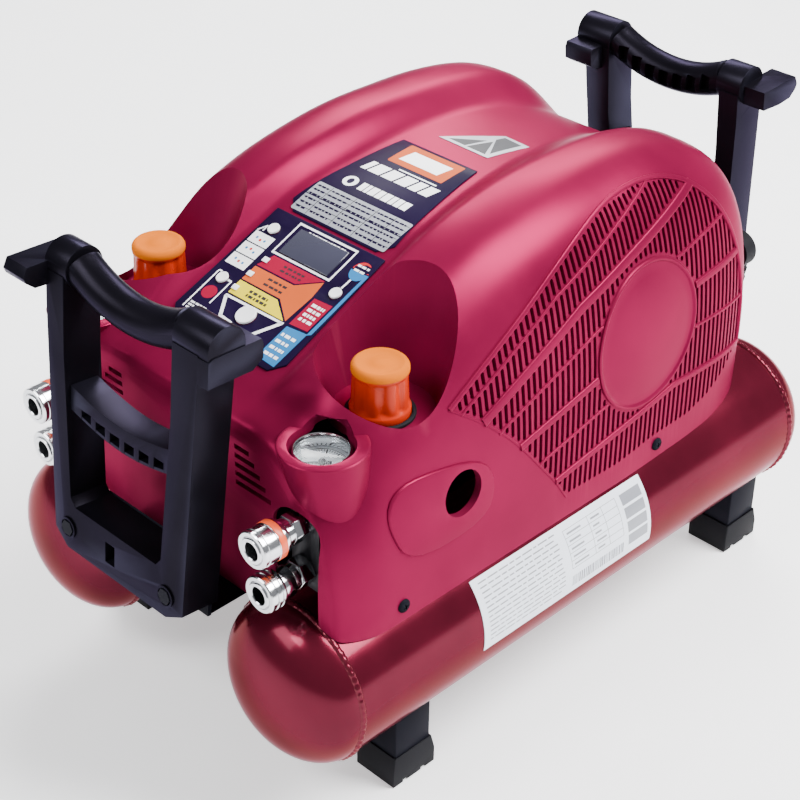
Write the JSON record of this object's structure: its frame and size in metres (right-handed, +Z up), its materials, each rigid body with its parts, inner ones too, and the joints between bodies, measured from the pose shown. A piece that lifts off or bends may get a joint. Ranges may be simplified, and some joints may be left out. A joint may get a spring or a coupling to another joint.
{
  "type": "portable air compressor",
  "caption": "Low portable air compressor: domed plastic cover over a piston pump on two long parallel tanks, carried by end handles, with regulators, gauges and air couplers at the front.",
  "frame": {"origin": "centre of the footprint on the floor, under the middle of the machine", "axes": "+Z up, -Y towards the control panel and couplers, +X to the right as seen from the front"},
  "size_m": [0.3528, 0.6118, 0.385],
  "materials": {
    "alloy": "die-cast alloy",
    "amber_plastic": "translucent orange plastic",
    "black_paint": "black powder coat, satin",
    "black_plastic": "fine-textured black plastic",
    "black_rubber": "moulded rubber",
    "brass": "turned brass",
    "chrome": "bright plating",
    "clear": "clear",
    "copper_tube": "drawn copper tube",
    "crimson_plastic": "moulded crimson plastic, satin gloss",
    "label_paper": "printed vinyl label",
    "panel_print": "dark printed overlay",
    "plum_paint": "metallic wine red enamel, semi-gloss",
    "steel": "turned steel",
    "white_plastic": "white plastic"
  },
  "bodies": {
    "chassis": {"tank_right": "plum_paint", "tank_left": "plum_paint", "tank_link_pipe": "copper_tube", "rating_label": "label_paper", "leg_front_right": "black_paint", "leg_front_left": "black_paint", "leg_rear_right": "black_paint", "leg_rear_left": "black_paint", "foot_front_right": "black_rubber", "foot_front_left": "black_rubber", "foot_rear_right": "black_rubber", "foot_rear_left": "black_rubber", "frame": "black_paint", "isolators": "black_rubber", "cover": "crimson_plastic", "cover_screws": "steel", "control_panel": "panel_print", "lcd_window": "clear", "top_label": "panel_print", "control_board": "alloy", "regulator_right": "alloy", "regulator_left": "alloy", "knob_seals": "black_rubber", "gauge_case_right": "chrome", "gauge_case_left": "chrome", "gauge_glasses": "clear", "coupler_body_right_hi": "chrome", "coupler_body_right_lo": "chrome", "coupler_body_left_hi": "chrome", "coupler_body_left_lo": "chrome", "handle_front": "black_plastic", "handle_rear": "black_plastic", "handle_bolts": "steel", "motor_stator": "alloy", "crankcase": "alloy", "cylinder_low": "alloy", "cylinder_high": "alloy", "air_pipes": "copper_tube", "intake_filter": "black_plastic", "safety_valve": "brass", "drain_valve": "brass", "cord_gland": "black_rubber"},
    "rotor": {"rotor_shaft": "steel", "fan": "black_plastic"},
    "piston_low": {"piston_low": "alloy"},
    "piston_high": {"piston_high": "alloy"},
    "knob_right": {"knob_right": "amber_plastic"},
    "knob_left": {"knob_left": "amber_plastic"},
    "gauge_needle_right": {"gauge_needle_right": "black_plastic"},
    "gauge_needle_left": {"gauge_needle_left": "black_plastic"},
    "drain_knob": {"drain_knob": "black_plastic"},
    "safety_valve_pin": {"safety_valve_pin": "steel"},
    "coupler_sleeve_right_hi": {"coupler_sleeve_right_hi": "chrome"},
    "coupler_sleeve_right_lo": {"coupler_sleeve_right_lo": "chrome"},
    "coupler_sleeve_left_hi": {"coupler_sleeve_left_hi": "chrome"},
    "coupler_sleeve_left_lo": {"coupler_sleeve_left_lo": "chrome"},
    "button_pressure": {"button_pressure": "white_plastic"},
    "button_power": {"button_power": "white_plastic"},
    "button_mode": {"button_mode": "white_plastic"},
    "button_info": {"button_info": "white_plastic"}
  },
  "joints": [
    {"name": "rotor_spin", "type": "hinge", "parent": "chassis", "child": "rotor", "pos_m": [0, 0, 0.245], "axis": [0, 1, 0], "continuous": true},
    {"name": "piston_low_stroke", "type": "slide", "parent": "chassis", "child": "piston_low", "axis": [1, 0, 0], "range_m": [-0.008, 0.008]},
    {"name": "piston_high_stroke", "type": "slide", "parent": "chassis", "child": "piston_high", "axis": [1, 0, 0], "range_m": [-0.008, 0.008]},
    {"name": "knob_right_turn", "type": "hinge", "parent": "chassis", "child": "knob_right", "pos_m": [0.111, -0.166, 0.3], "axis": [0, 0, 1], "range_deg": [-540, 540]},
    {"name": "knob_left_turn", "type": "hinge", "parent": "chassis", "child": "knob_left", "pos_m": [-0.111, -0.166, 0.3], "axis": [0, 0, 1], "range_deg": [-540, 540]},
    {"name": "gauge_right_needle", "type": "hinge", "parent": "chassis", "child": "gauge_needle_right", "pos_m": [0.119, -0.225, 0.277], "axis": [0, 0, -1], "range_deg": [0, 270], "stiffness_Nm_per_rad": 0.0002},
    {"name": "gauge_left_needle", "type": "hinge", "parent": "chassis", "child": "gauge_needle_left", "pos_m": [-0.119, -0.225, 0.277], "axis": [0, 0, -1], "range_deg": [0, 270], "stiffness_Nm_per_rad": 0.0002},
    {"name": "sleeve_right_hi_pull", "type": "slide", "parent": "chassis", "child": "coupler_sleeve_right_hi", "axis": [0, 1, 0], "range_m": [0, 0.005], "stiffness_N_per_m": 600},
    {"name": "sleeve_right_lo_pull", "type": "slide", "parent": "chassis", "child": "coupler_sleeve_right_lo", "axis": [0, 1, 0], "range_m": [0, 0.005], "stiffness_N_per_m": 600},
    {"name": "sleeve_left_hi_pull", "type": "slide", "parent": "chassis", "child": "coupler_sleeve_left_hi", "axis": [0, 1, 0], "range_m": [0, 0.005], "stiffness_N_per_m": 600},
    {"name": "sleeve_left_lo_pull", "type": "slide", "parent": "chassis", "child": "coupler_sleeve_left_lo", "axis": [0, 1, 0], "range_m": [0, 0.005], "stiffness_N_per_m": 600},
    {"name": "button_pressure_press", "type": "slide", "parent": "chassis", "child": "button_pressure", "axis": [0, 0.395, -0.9187], "range_m": [0, 0.0008], "stiffness_N_per_m": 800},
    {"name": "button_power_press", "type": "slide", "parent": "chassis", "child": "button_power", "axis": [0, 0.395, -0.9187], "range_m": [0, 0.0008], "stiffness_N_per_m": 800},
    {"name": "button_mode_press", "type": "slide", "parent": "chassis", "child": "button_mode", "axis": [0, 0.395, -0.9187], "range_m": [0, 0.0008], "stiffness_N_per_m": 800},
    {"name": "button_info_press", "type": "slide", "parent": "chassis", "child": "button_info", "axis": [0, 0.395, -0.9187], "range_m": [0, 0.0008], "stiffness_N_per_m": 800},
    {"name": "drain_turn", "type": "hinge", "parent": "chassis", "child": "drain_knob", "pos_m": [0, 0.17, 0.045], "axis": [0, 1, 0], "range_deg": [0, 720]},
    {"name": "safety_pin_pull", "type": "slide", "parent": "chassis", "child": "safety_valve_pin", "axis": [0, 0, 1], "range_m": [0, 0.003], "stiffness_N_per_m": 2000}
  ]
}
